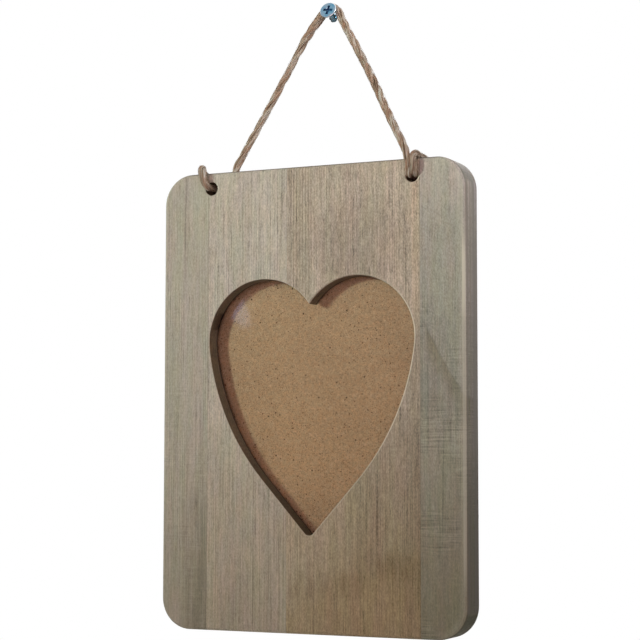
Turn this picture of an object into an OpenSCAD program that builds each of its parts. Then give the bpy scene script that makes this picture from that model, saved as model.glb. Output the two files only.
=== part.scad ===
// Small hanging picture frame: a board glued up from four upright staves, with a
// heart cut through it, a glazed rebate in its back, and a twine that hangs on a screw.
// The origin is where the screw enters the wall. +X is right, +Y into the wall, +Z up.

/* [Board] */
// Width of the board beside the pane
side_border = 10; // [8:0.5:14]
// Height of the board above and below the pane
end_border = 15; // [13.5:0.5:25]
// Thickness of the board
board_t = 15; // [13:0.5:22]
// Radius of the board's four corners
corner_r = 14; // [6:0.5:20]
// Width of the eased edge around the front
edge_ease = 1.2; // [0.5:0.1:2]
// Width of the left stave
left_stave_w = 23.5; // [18:0.5:24]
// Distance of the middle glue line from the board's middle
middle_joint_x = 11; // [5:0.5:20]
// Width of the right stave
right_stave_w = 21.2; // [16:0.1:23.5]

/* [Heart] */
// Width of the pane that the board hides on each side of the heart
heart_cover = 14.2; // [11:0.2:24]
// Height of the lobes' centres above the board's middle
lobe_z = 26.4; // [15:0.2:32]
// Radius of the long side curves
side_r = 108.5; // [95:0.5:130]
// Angle between each straight end and the upright
tip_angle = 42; // [38:0.5:44]
// Depth below the board's middle where the straight ends would meet
tip_depth = 62.6; // [56:0.2:70]
// Radius of the rounded tip
tip_r = 2.6; // [1:0.1:6]

/* [Glazing] */
// Width of the glass and its backing
pane_w = 130; // [110:1:155]
// Height of the glass and its backing
pane_h = 180; // [150:1:240]
// Thickness of the glass
glass_t = 2; // [1.5:0.1:3]
// Thickness of the backing board
backing_t = 5; // [3:0.5:6]
// Gap between the pane's edge and the rebate all round
pane_gap = 0.8; // [0.4:0.1:1.5]
// Radius of the rebate's corners
rebate_r = 2.5; // [0.5:0.1:3]

/* [Turn buttons] */
// Length of a turn button
button_l = 25; // [18:0.5:30]
// Width of a turn button
button_w = 9; // [7:0.5:9]
// Thickness of a turn button
button_t = 1.2; // [0.8:0.1:2]
// Height of the raised lip at a button's tip
lip_rise = 1.4; // [0.6:0.1:2]
// Distance of the buttons above and below the board's middle
button_z = 52; // [30:1:70]

/* [Button screws] */
// Diameter of a button screw's shank
pin_d = 3; // [2.5:0.1:3.5]
// Length of a button screw's shank
pin_l = 12; // [8:0.5:12.5]
// Diameter of a button screw's head
pin_head_d = 5.8; // [5:0.1:7]
// Height of a button screw's head
pin_head_t = 1.9; // [1.2:0.1:2.4]

/* [Hanging] */
// Diameter of the two twine holes
hole_d = 6.2; // [6.2:0.1:8]
// Distance of each twine hole from the board's side edge
hole_inset = 25; // [24.5:0.1:25.5]
// Distance of the twine holes from the board's top edge
hole_drop = 7.5; // [7:0.1:8]
// Diameter of the twine
twine_d = 2.8; // [2:0.1:2.8]
// Width of the knots at the twine's ends
knot_w = 7.8; // [6.5:0.1:8.5]
// Distance from the board's back to the wall
wall_gap = 12.5; // [11.5:0.5:20]
// Height of the screw above the board's middle
hang_h = 178.5; // [178.5:0.5:240]

/* [Hanging screw] */
// Diameter of the screw's thread
screw_d = 4; // [3:0.1:4]
// Whole length of the screw
screw_l = 30; // [24:1:50]
// Diameter of the screw's head
screw_head_d = 8; // [6.5:0.1:8.4]
// Length of the screw that stands out of the wall
screw_out = 8; // [7.8:0.1:8.6]
// Angle by which the screw slopes down into the wall
screw_tilt = 20; // [14:1:24]

/* [Hidden] */
$fn = 96;
over = 1;

// The board is made to its pane
board_w = pane_w + 2 * side_border;
board_h = pane_h + 2 * end_border;
hole_x = board_w / 2 - hole_inset;

// Where the board stands
front_y = -wall_gap - board_t;
back_y = -wall_gap;
top_z = board_h / 2;

// Glue lines, from left to right
stave_x = [-board_w / 2, left_stave_w - board_w / 2, -middle_joint_x,
    board_w / 2 - right_stave_w, board_w / 2];

// Rebate: glass and backing fill it flush with the board's back
rebate_t = glass_t + backing_t;
front_lip_t = board_t - rebate_t;
rebate_w = pane_w + 2 * pane_gap;
rebate_h = pane_h + 2 * pane_gap;

// Heart: a side circle touches the lobe from inside and runs out into a straight end
lobe_share = 0.549;
heart_half_w = pane_w / 2 - heart_cover;
lobe_r = lobe_share * heart_half_w;
lobe_x = heart_half_w - lobe_r;
side_reach = side_r - lobe_r;
side_pull = side_r + lobe_x * cos(tip_angle) - (tip_depth + lobe_z) * sin(tip_angle);
side_sweep = acos(side_pull / side_reach);
lobe_turn = tip_angle - side_sweep;
side_x = lobe_x - side_reach * cos(lobe_turn);
side_z = lobe_z + side_reach * sin(lobe_turn);
tip_way = [cos(tip_angle), -sin(tip_angle)];
tip_z = -tip_depth + tip_r / sin(tip_angle);

// Turn buttons: the shank runs in the button's hole
run_gap = 0.08;
button_gap = 0.1;
button_x = board_w / 2 - side_border / 2;
button_end_r = button_w / 2;
lip_l = button_w / 3;
bead_r = button_t / 2;
bead_l = button_l / 3;
recess_share = 0.55;
recess_w_share = 0.16;
pilot_d = pin_d * 0.9;
point_l = pin_d;
corners = [[-1, 1], [1, 1], [-1, -1], [1, -1]];

// Hanging screw: a rim, a cone down to the thread's root, the thread and a point
thread_root_d = 0.68 * screw_d;
thread_pitch = 0.45 * screw_d;
rim_t = screw_head_d / 16;
cone_t = (screw_head_d - thread_root_d) / 2;
screw_point_l = 1.5 * screw_d;
recess_w = screw_head_d / 8;

// Knots lie against the board's back
knot_h = knot_w * 0.9;
knot_gap = 0.2;
knot_round = knot_w * 0.3;

// The twine's centre line from the left knot to the right one, over the screw
twine_route = [
    [-48.5, -7, -79],
    [-54.2, -7.5, -76.6],
    [-59.4, -9.2, -73.9],
    [-61.5, -12.6, -71.9],
    [-59.3, -19.5, -71.9],
    [-55.3, -26.9, -71.4],
    [-53.2, -30.3, -74.2],
    [-52.2, -29.9, -78.3],
    [-51.4, -28.2, -80.1],
    [-51.1, -25.2, -80.3],
    [-50.7, -16, -80.2],
    [-50.2, -12.7, -80.1],
    [-49.4, -10.7, -78],
    [-47.2, -10.4, -73],
    [-45.1, -10.1, -67.2],
    [-35, -8, -49],
    [-22.4, -5.7, -26.4],
    [-14.4, -4.2, -11.5],
    [-9.5, -3.4, -4.2],
    [-3.2, -3, 3.3],
    [-0.5, -3, 4.8],
    [2.5, -3, 4.05],
    [3.9, -3.4, 2],
    [6.1, -4.1, -2.3],
    [11.7, -7.3, -11],
    [24, -14.2, -30.4],
    [39.9, -23.9, -57.3],
    [46.9, -28.1, -68.6],
    [48.5, -29.1, -73.4],
    [49, -29.1, -77.5],
    [48.6, -28, -80.1],
    [48.55, -25.4, -80.5],
    [48.55, -15.5, -80.5],
    [48.6, -12.6, -80.3],
    [49, -10.6, -78.2],
    [49.7, -9.8, -75.2],
    [50.5, -11.1, -72.5],
    [51, -14.6, -71.9],
    [51.3, -21, -71.9],
    [51.4, -26.8, -71.6],
    [51.7, -30.7, -74.2],
    [52.1, -31, -77.2],
    [51.8, -29.4, -79.6],
    [51.42, -27.3, -80.3],
    [51.45, -24, -80.5],
    [51.45, -13.2, -80.5],
    [51.7, -10.2, -82.6],
    [52.2, -8.6, -86.5],
];
twine_sides = 8;
twine_steps = 2;

// Puts a piece on the board: its middle in X and Z, its front face at Y zero
module on_board() {
    translate([0, front_y, -hang_h])
        children();
}

// A flat outline in X and Z, given thickness from depth y backwards
module panel(y, t) {
    translate([0, y + t, 0])
        rotate([90, 0, 0])
            linear_extrude(height = t)
                children();
}

module rounded_outline(w, h, r) {
    square([w - 2 * r, h], center = true);
    square([w, h - 2 * r], center = true);
    for (s = corners)
        translate([s[0] * (w / 2 - r), s[1] * (h / 2 - r)])
            circle(r = r);
}

// The front layer of the board, narrowing to the front by the eased edge
module eased_layer() {
    bar_x = board_w / 2;
    bar_z = board_h / 2;
    translate([0, 0, -(bar_z - corner_r)])
        linear_extrude(height = 2 * (bar_z - corner_r))
            polygon([[-bar_x, edge_ease], [bar_x, edge_ease], [bar_x - edge_ease, 0],
                [edge_ease - bar_x, 0]]);
    translate([-(bar_x - corner_r), 0, 0])
        rotate([90, 0, 90])
            linear_extrude(height = 2 * (bar_x - corner_r))
                polygon([[edge_ease, -bar_z], [edge_ease, bar_z], [0, bar_z - edge_ease],
                    [0, edge_ease - bar_z]]);
    for (s = corners)
        translate([s[0] * (bar_x - corner_r), edge_ease, s[1] * (bar_z - corner_r)])
            rotate([90, 0, 0])
                cylinder(r1 = corner_r, r2 = corner_r - edge_ease, h = edge_ease);
}

module board_blank() {
    eased_layer();
    panel(edge_ease, board_t - edge_ease)
        rounded_outline(board_w, board_h, corner_r);
}

// The right half of the heart: lobe, side curve, straight end and rounded tip.
// Each part runs a little past the middle line, into the other half.
module half_heart() {
    far = 2 * side_r;
    side_centre = [side_x, side_z];
    translate([lobe_x, lobe_z])
        circle(r = lobe_r);
    intersection() {
        translate(side_centre)
            circle(r = side_r);
        polygon([side_centre,
            side_centre + far * [cos(lobe_turn), -sin(lobe_turn)],
            side_centre + far * tip_way]);
        translate([-over, -far])
            square([far, 2 * far]);
    }
    polygon([[-over, lobe_z],
        side_centre + side_r * tip_way,
        [0, tip_z] + tip_r * tip_way,
        [-over, tip_z]]);
    translate([0, tip_z])
        circle(r = tip_r);
}

module heart() {
    for (side = [0, 1])
        mirror([side, 0])
            half_heart();
}

module heart_cut() {
    panel(-over, front_lip_t + 2 * over)
        heart();
}

module rebate_cut() {
    panel(front_lip_t, rebate_t + over)
        rounded_outline(rebate_w, rebate_h, rebate_r);
}

module twine_holes() {
    for (side = [-1, 1])
        translate([side * hole_x, board_t + over, top_z - hole_drop])
            rotate([90, 0, 0])
                cylinder(d = hole_d, h = board_t + 2 * over);
}

module pilot_holes() {
    depth = pin_l - button_t - point_l;
    for (s = corners)
        translate([s[0] * button_x, board_t + over, s[1] * button_z])
            rotate([90, 0, 0])
                cylinder(d = pilot_d, h = depth + over);
}

// One upright stave of the board, between two glue lines
module stave(left, right) {
    on_board()
        difference() {
            intersection() {
                board_blank();
                translate([left, -over, -board_h])
                    cube([right - left, board_t + 2 * over, 2 * board_h]);
            }
            heart_cut();
            rebate_cut();
            twine_holes();
            pilot_holes();
        }
}

module stave_left() {
    color("#989484")
        stave(stave_x[0], stave_x[1]);
}

module stave_centre_left() {
    color("#a39d8c")
        stave(stave_x[1], stave_x[2]);
}

module stave_centre_right() {
    color("#988876")
        stave(stave_x[2], stave_x[3]);
}

module stave_right() {
    color("#8e8b7c")
        stave(stave_x[3], stave_x[4]);
}

module pane(y, t) {
    on_board()
        panel(y, t)
            square([pane_w, pane_h], center = true);
}

module glass_pane() {
    color("lightcyan", 0.4)
        pane(front_lip_t, glass_t);
}

module backing_board() {
    color("#9b7d5c")
        pane(front_lip_t + glass_t, backing_t);
}

// Places a button or its screw on the board's back, with its own +Z out of the board
module at_button(s) {
    on_board()
        translate([s[0] * button_x, board_t, s[1] * button_z])
            rotate([-90, 0, 0])
                mirror([s[0] > 0 ? 1 : 0, 0, 0])
                    children();
}

// Side view of the pressed strip: flat, then a lip that lifts off the backing
module button_side() {
    reach = button_l - button_end_r;
    polygon([[-button_end_r, 0], [reach - lip_l, 0], [reach, lip_rise],
        [reach, lip_rise + button_t], [reach - lip_l, button_t], [-button_end_r, button_t]]);
}

module button_outline() {
    reach = button_l - 2 * button_end_r;
    circle(r = button_end_r);
    translate([0, -button_end_r])
        square([reach, button_w]);
    translate([reach, 0])
        circle(r = button_end_r);
}

// A pressed steel strip with round ends, a hole for its screw and a stiffening bead
module turn_button(s) {
    tall = lip_rise + button_t;
    bead_x = button_end_r + pin_head_d / 2;
    color("#b9bcc0")
        at_button(s)
            translate([0, 0, button_gap])
                difference() {
                    union() {
                        intersection() {
                            linear_extrude(height = tall)
                                button_outline();
                            translate([0, button_end_r, 0])
                                rotate([90, 0, 0])
                                    linear_extrude(height = button_w)
                                        button_side();
                        }
                        translate([bead_x, 0, button_t])
                            rotate([0, 90, 0])
                                cylinder(r = bead_r, h = bead_l);
                        for (x = [bead_x, bead_x + bead_l])
                            translate([x, 0, button_t])
                                sphere(r = bead_r);
                    }
                    translate([0, 0, -over])
                        cylinder(d = pin_d + 2 * run_gap, h = button_t + 2 * over);
                }
}

module turn_button_upper_left() {
    turn_button(corners[0]);
}

module turn_button_upper_right() {
    turn_button(corners[1]);
}

module turn_button_lower_left() {
    turn_button(corners[2]);
}

module turn_button_lower_right() {
    turn_button(corners[3]);
}

// Two crossed slots for the driver, cut down from the top of a head
module cross_recess(reach, w, depth) {
    for (turn = [0, 90])
        rotate([0, 0, turn])
            translate([-reach, -w / 2, -depth])
                cube([2 * reach, w, depth + over]);
}

// A domed head on a shank with a point; the head bears on the button
module button_screw(s) {
    head_r = pin_head_d / 2;
    dome_r = (head_r * head_r + pin_head_t * pin_head_t) / (2 * pin_head_t);
    seat = 2 * button_gap + button_t;
    color("#c9ccd0")
        at_button(s) {
            difference() {
                translate([0, 0, seat])
                    intersection() {
                        translate([0, 0, pin_head_t - dome_r])
                            sphere(r = dome_r);
                        cylinder(d = 2 * pin_head_d, h = pin_head_t + over);
                    }
                translate([0, 0, seat + pin_head_t])
                    cross_recess(head_r * recess_share, pin_head_d * recess_w_share,
                        pin_head_t * recess_share);
            }
            translate([0, 0, seat - pin_l + point_l])
                cylinder(d = pin_d, h = pin_l - point_l);
            translate([0, 0, seat - pin_l])
                cylinder(d1 = 0, d2 = pin_d, h = point_l);
        }
}

module button_screw_upper_left() {
    button_screw(corners[0]);
}

module button_screw_upper_right() {
    button_screw(corners[1]);
}

module button_screw_lower_left() {
    button_screw(corners[2]);
}

module button_screw_lower_right() {
    button_screw(corners[3]);
}

// The thread that shows, as a root with a sharp ridge for each turn
module bare_thread() {
    flank_h = (screw_d - thread_root_d) * 0.35;
    turns = round((screw_out - rim_t - cone_t) / thread_pitch);
    translate([0, 0, rim_t + cone_t])
        cylinder(d = thread_root_d, h = screw_out - rim_t - cone_t);
    for (i = [0:turns - 1])
        translate([0, 0, screw_out - (i + 0.5) * thread_pitch]) {
            cylinder(d1 = screw_d, d2 = thread_root_d, h = flank_h);
            mirror([0, 0, 1])
                cylinder(d1 = screw_d, d2 = thread_root_d, h = flank_h);
        }
}

// A countersunk screw that slopes down into the wall, so that the twine stays on it.
// In the wall its thread is a plain cylinder of the thread's diameter.
module hanging_screw() {
    buried_l = screw_l - screw_out - screw_point_l;
    color("#b4c0c8")
        rotate([-90 - screw_tilt, 0, 0])
            translate([0, 0, -screw_out])
                difference() {
                    union() {
                        cylinder(d = screw_head_d, h = rim_t);
                        translate([0, 0, rim_t])
                            cylinder(d1 = screw_head_d, d2 = thread_root_d, h = cone_t);
                        bare_thread();
                        translate([0, 0, screw_out])
                            cylinder(d = screw_d, h = buried_l);
                        translate([0, 0, screw_out + buried_l])
                            cylinder(d1 = screw_d, d2 = 0, h = screw_point_l);
                    }
                    mirror([0, 0, 1])
                        cross_recess(screw_head_d / 2 * recess_share, recess_w,
                            cone_t * recess_share);
                }
}

// Twine sweep: the route's corners are bent smoothly, then a ring is set at each step
function unit(v) = v / norm(v);
function way(i) = unit(twine_route[min(i + 1, len(twine_route) - 1)] - twine_route[max(i - 1, 0)]);
function bent(i, u) =
    let (a = twine_route[i], b = twine_route[i + 1], run = norm(b - a), v = 1 - u)
    v * v * (1 + 2 * u) * a + u * u * (3 - 2 * u) * b
        + run * u * v * v * way(i) - run * u * u * v * way(i + 1);
centres = concat(
    [for (i = [0:len(twine_route) - 2]) for (k = [0:twine_steps - 1]) bent(i, k / twine_steps)],
    [twine_route[len(twine_route) - 1]]);
last_ring = len(centres) - 1;
ways = [for (i = [0:last_ring]) unit(centres[min(i + 1, last_ring)] - centres[max(i - 1, 0)])];
function square_to(n, t) = unit(n - (n * t) * t);
sides_up = [for (i = 0, n = square_to([0, 0, 1], ways[0]); i <= last_ring; i = i + 1,
    n = square_to(n, ways[min(i, last_ring)])) n];

function ring(i) = [for (k = [0:twine_sides - 1])
    let (a = 360 * (k + 0.5) / twine_sides, n = sides_up[i])
    centres[i] + twine_d / 2 * (cos(a) * n + sin(a) * cross(ways[i], n))];

module hanging_twine() {
    n = twine_sides;
    end = last_ring * n;
    color("#a08c70")
        polyhedron(
            points = [for (i = [0:last_ring]) each ring(i)],
            faces = concat(
                [for (k = [1:n - 2]) [0, k, k + 1]],
                [for (k = [1:n - 2]) [end, end + k + 1, end + k]],
                [for (i = [0:last_ring - 1]) for (k = [0:n - 1])
                    [i * n + k, i * n + n + k, i * n + (k + 1) % n]],
                [for (i = [0:last_ring - 1]) for (k = [0:n - 1])
                    [i * n + (k + 1) % n, i * n + n + k, i * n + n + (k + 1) % n]]));
}

// A knot's outer shape: a short barrel with rounded ends, against the board's back
module knot(end) {
    color("#9c8668")
        translate([end[0], back_y + knot_gap + knot_w / 2, end[2]])
            rotate_extrude()
                intersection() {
                    union() {
                        translate([0, -knot_h / 2 + knot_round])
                            square([knot_w / 2, knot_h - 2 * knot_round]);
                        translate([0, -knot_h / 2])
                            square([knot_w / 2 - knot_round, knot_h]);
                        for (up = [-1, 1])
                            translate([knot_w / 2 - knot_round, up * (knot_h / 2 - knot_round)])
                                circle(r = knot_round);
                    }
                    translate([0, -knot_h])
                        square([knot_w, 2 * knot_h]);
                }
}

module left_knot() {
    knot(twine_route[0]);
}

module right_knot() {
    knot(twine_route[len(twine_route) - 1]);
}

stave_left();
stave_centre_left();
stave_centre_right();
stave_right();
glass_pane();
backing_board();
turn_button_upper_left();
turn_button_upper_right();
turn_button_lower_left();
turn_button_lower_right();
button_screw_upper_left();
button_screw_upper_right();
button_screw_lower_left();
button_screw_lower_right();
hanging_twine();
left_knot();
right_knot();
hanging_screw();
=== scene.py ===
import random
from math import atan2, cos, pi, radians, sin

import bmesh
import bpy
from mathutils import Matrix, Vector, noise


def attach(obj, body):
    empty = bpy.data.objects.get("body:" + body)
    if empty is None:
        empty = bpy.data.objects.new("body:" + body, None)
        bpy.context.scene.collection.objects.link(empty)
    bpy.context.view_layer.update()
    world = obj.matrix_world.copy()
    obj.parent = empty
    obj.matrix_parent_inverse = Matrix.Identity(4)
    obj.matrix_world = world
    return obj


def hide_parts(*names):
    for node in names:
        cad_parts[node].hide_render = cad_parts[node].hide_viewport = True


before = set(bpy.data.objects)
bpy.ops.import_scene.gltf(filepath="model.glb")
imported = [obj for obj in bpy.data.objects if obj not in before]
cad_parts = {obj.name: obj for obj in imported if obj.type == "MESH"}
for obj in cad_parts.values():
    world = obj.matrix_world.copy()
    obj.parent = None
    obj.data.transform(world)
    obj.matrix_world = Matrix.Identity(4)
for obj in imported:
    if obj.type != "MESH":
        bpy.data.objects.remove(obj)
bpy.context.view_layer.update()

# The frame is photographed with a long lens, from the right and a little below its
# middle, so the lens looks up at it.
CAMERA_PLACE = Vector((0.3487, -0.7590, -0.2085))
CAMERA_SIDE, CAMERA_UP, CAMERA_ROLL = 25.13, 4.58, -0.07
camera = bpy.data.objects.new("camera", bpy.data.cameras.new("camera"))
camera.data.lens = 101.81
camera.data.sensor_width = 36
camera.data.clip_start = 0.02
camera.matrix_world = (
    Matrix.Translation(CAMERA_PLACE)
    @ Matrix.Rotation(radians(CAMERA_SIDE), 4, "Z")
    @ Matrix.Rotation(radians(CAMERA_UP), 4, "X")
    @ Matrix.Rotation(radians(CAMERA_ROLL), 4, "Y")
    @ Matrix.Rotation(radians(90), 4, "X")
)
bpy.context.scene.collection.objects.link(camera)
bpy.context.scene.camera = camera
bpy.context.scene.view_settings.view_transform = "Standard"


# The studio is a white room that the camera sees as plain white. A soft key lamp on the left
# fades towards the board's foot, weaker lamps fill its front, side and top, and one its back.
class Wire:
    """A node's output. Arithmetic on it adds the Math nodes that work it out."""

    def __init__(self, paint, socket):
        self.paint, self.socket = paint, socket

    def maths(self, operation, *values):
        return self.paint.node("Math", {"operation": operation}, dict(enumerate(values)))

    def __add__(self, other):
        return self.maths("ADD", self, other)

    def __sub__(self, other):
        return self.maths("SUBTRACT", self, other)

    def __rsub__(self, other):
        return self.maths("SUBTRACT", other, self)

    def __mul__(self, other):
        return self.maths("MULTIPLY", self, other)

    def __truediv__(self, other):
        return self.maths("DIVIDE", self, other)

    def __pow__(self, other):
        return self.maths("POWER", self, other)

    def __abs__(self):
        return self.maths("ABSOLUTE", self)

    __radd__, __rmul__ = __add__, __mul__

    def most(self, other):
        return self.maths("MAXIMUM", self, other)

    def least(self, other):
        return self.maths("MINIMUM", self, other)

    def sine(self):
        return self.maths("SINE", self)

    def between(self, none, full):
        """0 at none, 1 at full, and a smooth climb between them. none may be the higher."""
        return self.paint.node(
            "MapRange", {"interpolation_type": "SMOOTHSTEP"}, {0: self, 1: none, 2: full}
        )

    def other(self, name):
        """Another output of the same node."""
        return Wire(self.paint, self.socket.node.outputs[name])


class Paint:
    """The nodes of a material or of the room, which start from none."""

    def __init__(self, owner):
        owner.use_nodes = True
        self.tree = owner.node_tree
        self.tree.nodes.clear()

    def node(self, kind, settings=None, sockets=None, out=0):
        """Adds a node with these settings and these values or links, and gives an output."""
        made = self.tree.nodes.new("ShaderNode" + kind)
        for name, value in (settings or {}).items():
            if name == "stops":
                ramp = made.color_ramp.elements
                while len(ramp) < len(value):
                    ramp.new(1)
                for stop, (at, colour) in zip(ramp, value):
                    stop.position, stop.color = at, (*colour, 1)
            else:
                setattr(made, name, value)
        for name, value in (sockets or {}).items():
            if isinstance(value, Wire):
                self.tree.links.new(value.socket, made.inputs[name])
            elif made.inputs[name].type == "RGBA":
                made.inputs[name].default_value = (*value, 1)
            else:
                made.inputs[name].default_value = value
        return Wire(self, made.outputs[out] if len(made.outputs) else None)

    def stretched(self, place, x, y, z):
        """A place whose three axes are stretched, so that a pattern on it is drawn out."""
        return self.node("VectorMath", {"operation": "MULTIPLY"}, {0: place, 1: (x, y, z)})

    def along(self, place, way):
        """How far a place lies along this way."""
        return self.node(
            "VectorMath", {"operation": "DOT_PRODUCT"}, {0: place, 1: way}, "Value"
        )

    def noise(self, place, scale=1, detail=2, roughness=0.5, distortion=0):
        return self.node("TexNoise", {}, {
            "Vector": place, "Scale": scale, "Detail": detail, "Roughness": roughness,
            "Distortion": distortion,
        })

    def blend(self, share, first, second, how="MIX"):
        return self.node(
            "Mix", {"data_type": "RGBA", "blend_type": how}, {0: share, 6: first, 7: second}, 2
        )

    def tinted(self, share, colour, factors):
        """A colour that is multiplied by these factors where share is 1."""
        return self.blend(share, colour, factors, "MULTIPLY")

    def shaded(self, colour, light):
        """A colour made this many times as bright."""
        return self.node("VectorMath", {"operation": "SCALE"}, {0: colour, "Scale": light})


room = Paint(bpy.data.worlds.new("studio"))
bpy.context.scene.world = bpy.data.worlds["studio"]
view = room.node("TexCoord", {}, {}, "Generated")
upward = room.node("SeparateXYZ", {}, {0: view}, "Z")
glow = room.node("ValToRGB", {"stops": [
    (0, (0.047, 0.032, 0.021)), (0.45, (0.083, 0.072, 0.062)), (1, (0.23, 0.23, 0.23)),
]}, {0: upward * 0.5 + 0.5})
panels = room.node("ValToRGB", {"stops": [
    (0, (0.04, 0.04, 0.04)), (0.54, (0.07, 0.07, 0.08)), (0.70, (0.8, 0.84, 0.9)),
]}, {0: upward * 0.5 + 0.5})
# A far window, which the glass mirrors as a small pale smear beside the heart's left lobe. It
# is an ellipse of these half sizes in degrees, which leans over by its run for its rise.
WINDOW_SIDE, WINDOW_UP = radians(27.96), radians(5.20)
WINDOW_HALF_W, WINDOW_HALF_H = 0.34, 1.02
WINDOW_RISE, WINDOW_RUN = 0.84, 0.54
window_way = Vector((
    -sin(WINDOW_SIDE) * cos(WINDOW_UP), -cos(WINDOW_SIDE) * cos(WINDOW_UP), sin(WINDOW_UP)
))
window_level = window_way.cross((0, 0, 1)).normalized()
window_up = window_way.cross(window_level).normalized()
window_lean = window_up * WINDOW_RISE - window_level * WINDOW_RUN
off = 0
for half, way in (
    (WINDOW_HALF_W, window_way.cross(window_lean)), (WINDOW_HALF_H, window_lean),
):
    off = (room.along(view, way) / sin(radians(half))) ** 2 + off
facing = room.along(view, window_way)
panels = room.blend(
    off.between(1.3, 0.6) * facing.between(0.9, 0.95), panels, (1.5, 1.75, 2.4)
)
seen = room.node("LightPath", {}, {}, "Is Camera Ray")
lit = room.node("MixShader", {}, {
    0: seen.other("Is Glossy Ray"),
    1: room.node("Background", {}, {0: glow, 1: 1}),
    2: room.node("Background", {}, {0: panels, 1: 1}),
})
room.node("OutputWorld", {}, {0: room.node("MixShader", {}, {
    0: seen,
    1: lit,
    2: room.node("Background", {}, {0: (1, 1, 1), 1: 1}),
})})

# The middle of the board's front face, which the lamps are aimed by.
MIDDLE = Vector((0, -0.0275, -0.1785))


def lamp(name, kind, place, aim, power, colour, **settings):
    """A lamp of this power in watts that shines from its place at a point."""
    light = bpy.data.lights.new(name, kind)
    light.energy, light.color = power, colour
    for setting, value in settings.items():
        setattr(light, setting, value)
    made = bpy.data.objects.new(name, light)
    made.matrix_world = Matrix.Translation(place) @ (
        (Vector(aim) - Vector(place)).to_track_quat("-Z", "Y").to_matrix().to_4x4()
    )
    bpy.context.scene.collection.objects.link(made)
    return made


KEY_SIDE, KEY_UP, KEY_FAR = radians(28.5), radians(11), 1.4
key_place = MIDDLE + KEY_FAR * Vector(
    (-sin(KEY_SIDE) * cos(KEY_UP), -cos(KEY_SIDE) * cos(KEY_UP), sin(KEY_UP))
)
key = lamp(
    "key", "SPOT", key_place, MIDDLE + Vector((-0.08, 0, 0.30)), 47.2, (0.83, 1, 0.90),
    spot_size=radians(40), spot_blend=1, shadow_soft_size=0.10,
)
key.visible_glossy = False
lamp(
    "front_fill", "SPOT", (0.30, -1.5, 0.05), MIDDLE + Vector((0, 0, 0.24)), 55,
    (1, 0.66, 0.70), spot_size=radians(44), spot_blend=1, shadow_soft_size=0.6,
)
lamp(
    "side_fill", "SPOT", (1.3, 0.2, 0.45), MIDDLE + Vector((0, 0, 0.28)), 60,
    (0.98, 0.98, 1), spot_size=radians(28), spot_blend=1, shadow_soft_size=0.15,
)
lamp(
    "top_fill", "SPOT", (0.9, -0.9, 0.75), MIDDLE + Vector((0.10, 0, 0.27)), 30,
    (1, 0.97, 0.93), spot_size=radians(21), spot_blend=1, shadow_soft_size=0.3,
)
lamp("back_fill", "AREA", (-0.2, 1.3, 0.5), MIDDLE, 14, (1, 0.98, 0.96), size=0.9)


def ground(name, turn, place):
    """A large flat sheet of the studio, which is not part of the frame."""
    mesh = bpy.data.meshes.new(name)
    sheet = bmesh.new()
    bmesh.ops.create_grid(sheet, x_segments=1, y_segments=1, size=1.2)
    bmesh.ops.rotate(sheet, verts=sheet.verts, matrix=Matrix.Rotation(turn, 3, "X"))
    bmesh.ops.translate(sheet, verts=sheet.verts, vec=place)
    sheet.to_mesh(mesh)
    sheet.free()
    made = bpy.data.objects.new(name, mesh)
    bpy.context.scene.collection.objects.link(made)
    mesh.materials.append(bpy.data.materials.new(name))
    return made, Paint(mesh.materials[0])


# The floor scatters the lamps' light as it is, and is evened out for the camera alone.
FLOOR_Z, FLOOR_COLOUR = -0.62, (0.86, 0.85, 0.83)
_, paint = ground("pale_floor", 0, (0, 0, FLOOR_Z))
seen = paint.node("LightPath", {}, {}, "Is Camera Ray")
paint.node("OutputMaterial", {}, {0: paint.node("MixShader", {}, {
    0: seen * 0.8,
    1: paint.node("BsdfDiffuse", {}, {0: FLOOR_COLOUR}),
    2: paint.node("Emission", {}, {0: FLOOR_COLOUR, 1: 0.9}),
})})

# The wall that the screw is driven into is white, and is left out from behind, so that it
# does not hide the back of the frame.
wall, paint = ground("white_wall", pi / 2, (0, 0, FLOOR_Z + 1.2))
for way in ("diffuse", "glossy", "transmission", "shadow"):
    setattr(wall, "visible_" + way, False)
paint.node("OutputMaterial", {}, {0: paint.node("MixShader", {}, {
    0: paint.node("NewGeometry", {}, {}, "Backfacing"),
    1: paint.node("Emission", {}, {0: (1, 1, 1), 1: 1}),
    2: paint.node("BsdfTransparent", {}, {0: (1, 1, 1)}),
})})


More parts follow.
